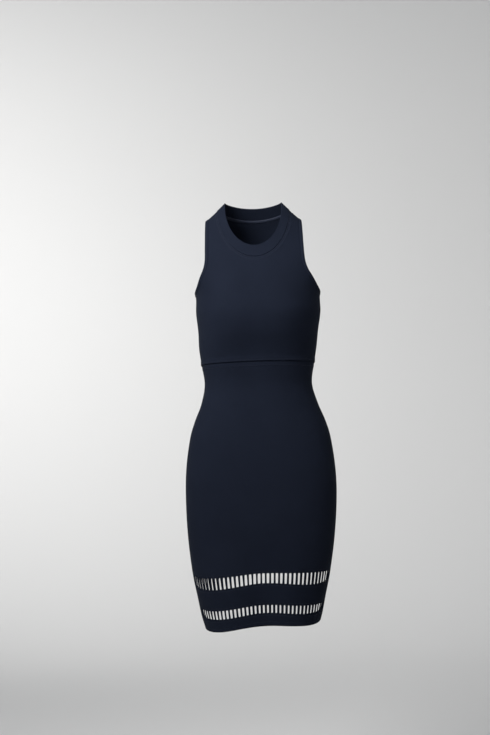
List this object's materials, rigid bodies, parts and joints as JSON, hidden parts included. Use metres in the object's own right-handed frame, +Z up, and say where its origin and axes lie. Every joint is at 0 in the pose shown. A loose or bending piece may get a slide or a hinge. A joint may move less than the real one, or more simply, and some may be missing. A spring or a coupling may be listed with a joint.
{
  "type": "bodycon dress",
  "caption": "Sleeveless close-fitting knit dress, worn form held open: high wide neckband, cut-in armholes, seam under the bust, ladders of slots above the hem.",
  "frame": {"origin": "midway between the places where the two straps rest on the wearer's shoulders", "axes": "+X to the wearer's left, the front faces -Y, +Z up along the dress"},
  "size_m": [0.3178, 0.2397, 0.9176],
  "materials": {
    "body_knit": "matte compact knit, very dark navy",
    "band_knit": "matte doubled knit, very dark navy",
    "ladder_knit": "matte knitted bars, very dark navy"
  },
  "bodies": {
    "root": {"bodice_front": "body_knit", "bodice_back": "body_knit", "neckband": "band_knit", "armhole_binding_left": "band_knit", "armhole_binding_right": "band_knit", "skirt_front": "body_knit", "skirt_back": "body_knit", "ladder_upper_front": "ladder_knit", "ladder_upper_back": "ladder_knit", "band_middle_front": "body_knit", "band_middle_back": "body_knit", "ladder_lower_front": "ladder_knit", "ladder_lower_back": "ladder_knit", "hem_band_front": "body_knit", "hem_band_back": "body_knit"}
  },
  "joints": []
}
